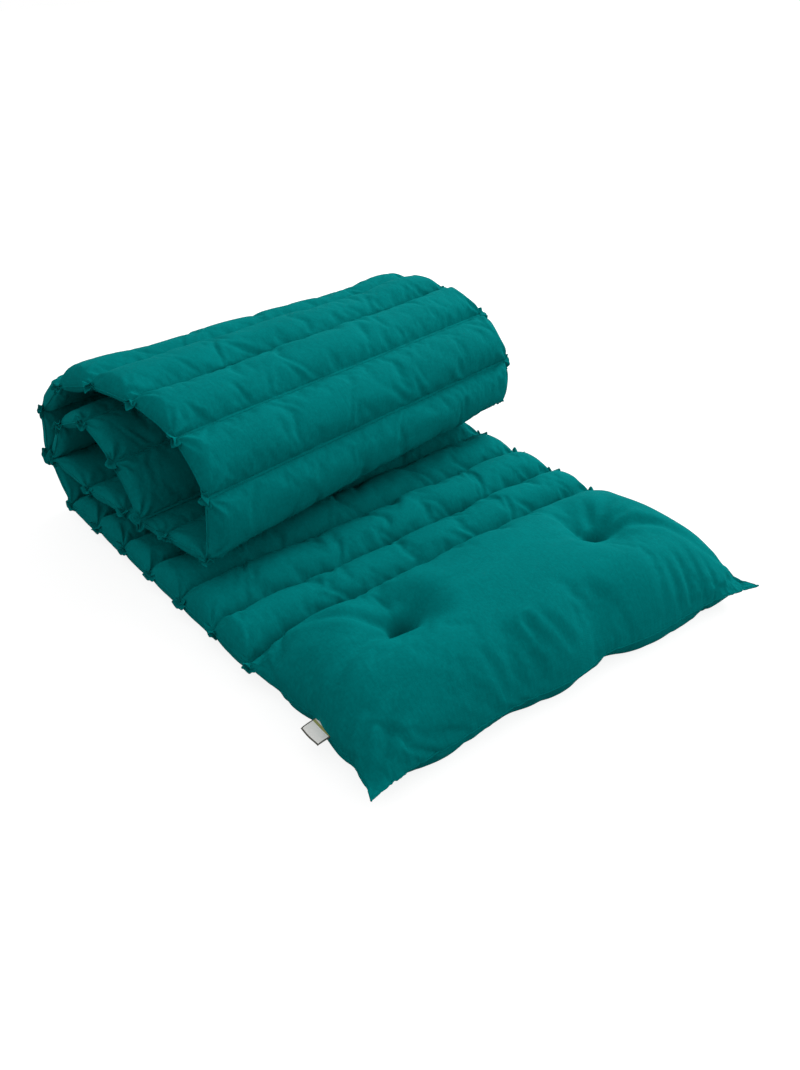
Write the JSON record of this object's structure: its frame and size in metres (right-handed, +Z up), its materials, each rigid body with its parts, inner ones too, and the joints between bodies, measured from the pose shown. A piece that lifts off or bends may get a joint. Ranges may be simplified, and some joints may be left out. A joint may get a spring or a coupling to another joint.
{
  "type": "futon mattress",
  "caption": "Roll-out futon mattress of stuffed cross channels, half rolled up, with a built-in tufted pillow at its flat end.",
  "frame": {"origin": "middle of the underside of the channel next to the pillow, on the floor", "axes": "X along the cross seams, Y from the pillow towards the roll, Z up"},
  "size_m": [0.6432, 0.8361, 0.2824],
  "materials": {
    "cotton_cover": "fine woven matte cotton with a soft sheen",
    "filling": "soft matte polyester and kapok wadding",
    "tuft_thread": "matte twisted thread",
    "label_tape": "smooth woven tape"
  },
  "bodies": {
    "strip": {"channel_01_cover": "cotton_cover", "channel_01_filling": "filling", "channel_02_cover": "cotton_cover", "channel_02_filling": "filling", "channel_03_cover": "cotton_cover", "channel_03_filling": "filling", "channel_04_cover": "cotton_cover", "channel_04_filling": "filling", "channel_05_cover": "cotton_cover", "channel_05_filling": "filling", "channel_06_cover": "cotton_cover", "channel_06_filling": "filling"},
    "pillow": {"pillow_cover": "cotton_cover", "pillow_filling": "filling", "tuft_tie_left": "tuft_thread", "tuft_tie_right": "tuft_thread", "label": "label_tape"},
    "channel_07": {"channel_07_cover": "cotton_cover", "channel_07_filling": "filling"},
    "channel_08": {"channel_08_cover": "cotton_cover", "channel_08_filling": "filling"},
    "channel_09": {"channel_09_cover": "cotton_cover", "channel_09_filling": "filling"},
    "channel_10": {"channel_10_cover": "cotton_cover", "channel_10_filling": "filling"},
    "channel_11": {"channel_11_cover": "cotton_cover", "channel_11_filling": "filling"},
    "channel_12": {"channel_12_cover": "cotton_cover", "channel_12_filling": "filling"},
    "channel_13": {"channel_13_cover": "cotton_cover", "channel_13_filling": "filling"},
    "roll_core": {"channel_14_cover": "cotton_cover", "channel_14_filling": "filling", "channel_15_cover": "cotton_cover", "channel_15_filling": "filling", "channel_16_cover": "cotton_cover", "channel_16_filling": "filling", "channel_17_cover": "cotton_cover", "channel_17_filling": "filling", "channel_18_cover": "cotton_cover", "channel_18_filling": "filling", "channel_19_cover": "cotton_cover", "channel_19_filling": "filling"},
    "channel_20": {"channel_20_cover": "cotton_cover", "channel_20_filling": "filling"},
    "channel_21": {"channel_21_cover": "cotton_cover", "channel_21_filling": "filling"},
    "end_flap": {"channel_22_cover": "cotton_cover", "channel_22_filling": "filling"}
  },
  "joints": [
    {"name": "pillow_fold", "type": "hinge", "parent": "strip", "child": "pillow", "pos_m": [0, -0.0395, 0.026], "axis": [-1, 0, 0], "range_deg": [0, 50]},
    {"name": "unroll", "type": "hinge", "parent": "strip", "child": "channel_07", "pos_m": [-0.00414, 0.43444, 0.026], "axis": [-0.999, -0.0436, 0], "range_deg": [0, 50]},
    {"name": "seam_07", "type": "hinge", "parent": "channel_07", "child": "channel_08", "pos_m": [-0.00635, 0.48517, 0.08652], "axis": [-0.999, -0.0436, 0], "range_deg": [0, 50]},
    {"name": "seam_08", "type": "hinge", "parent": "channel_08", "child": "channel_09", "pos_m": [-0.00575, 0.47147, 0.16432], "axis": [-0.999, -0.0436, 0], "range_deg": [0, 40]},
    {"name": "seam_09", "type": "hinge", "parent": "channel_09", "child": "channel_10", "pos_m": [-0.00311, 0.41101, 0.2151], "axis": [-0.9973, -0.0703, 0.0224], "range_deg": [0, 20]},
    {"name": "seam_10", "type": "hinge", "parent": "channel_10", "child": "channel_11", "pos_m": [0.00271, 0.33699, 0.24209], "axis": [-0.992, -0.1192, 0.0403], "range_deg": [0, 15]},
    {"name": "seam_11", "type": "hinge", "parent": "channel_11", "child": "channel_12", "pos_m": [0.01238, 0.25887, 0.24882], "axis": [-0.9858, -0.1623, 0.044], "range_deg": [0, 20]},
    {"name": "seam_12", "type": "hinge", "parent": "channel_12", "child": "channel_13", "pos_m": [0.02386, 0.1835, 0.22812], "axis": [-0.9845, -0.1706, 0.0417], "range_deg": [0, 35]},
    {"name": "seam_13", "type": "hinge", "parent": "channel_13", "child": "roll_core", "pos_m": [0.02999, 0.13328, 0.16745], "axis": [-0.9845, -0.1706, 0.0417], "range_deg": [0, 45]},
    {"name": "seam_19", "type": "hinge", "parent": "roll_core", "child": "channel_20", "pos_m": [-0.01438, 0.41186, 0.17203], "axis": [-0.9959, -0.0899, -0.0049], "range_deg": [0, 21]},
    {"name": "seam_20", "type": "hinge", "parent": "channel_20", "child": "channel_21", "pos_m": [-0.00809, 0.34043, 0.20517], "axis": [-0.9977, -0.0662, -0.0159], "range_deg": [0, 30]},
    {"name": "end_flap", "type": "hinge", "parent": "channel_21", "child": "end_flap", "pos_m": [-0.00282, 0.26914, 0.17152], "axis": [-0.9982, -0.0584, -0.0121], "range_deg": [0, 30]}
  ],
  "couplings": [
    {"joint": "seam_07", "follows": "unroll", "ratio": 1},
    {"joint": "seam_08", "follows": "unroll", "ratio": 0.8},
    {"joint": "seam_09", "follows": "unroll", "ratio": 0.4},
    {"joint": "seam_10", "follows": "unroll", "ratio": 0.3},
    {"joint": "seam_11", "follows": "unroll", "ratio": 0.4},
    {"joint": "seam_12", "follows": "unroll", "ratio": 0.7},
    {"joint": "seam_13", "follows": "unroll", "ratio": 0.9},
    {"joint": "seam_19", "follows": "unroll", "ratio": 0.42},
    {"joint": "seam_20", "follows": "unroll", "ratio": 0.6}
  ]
}
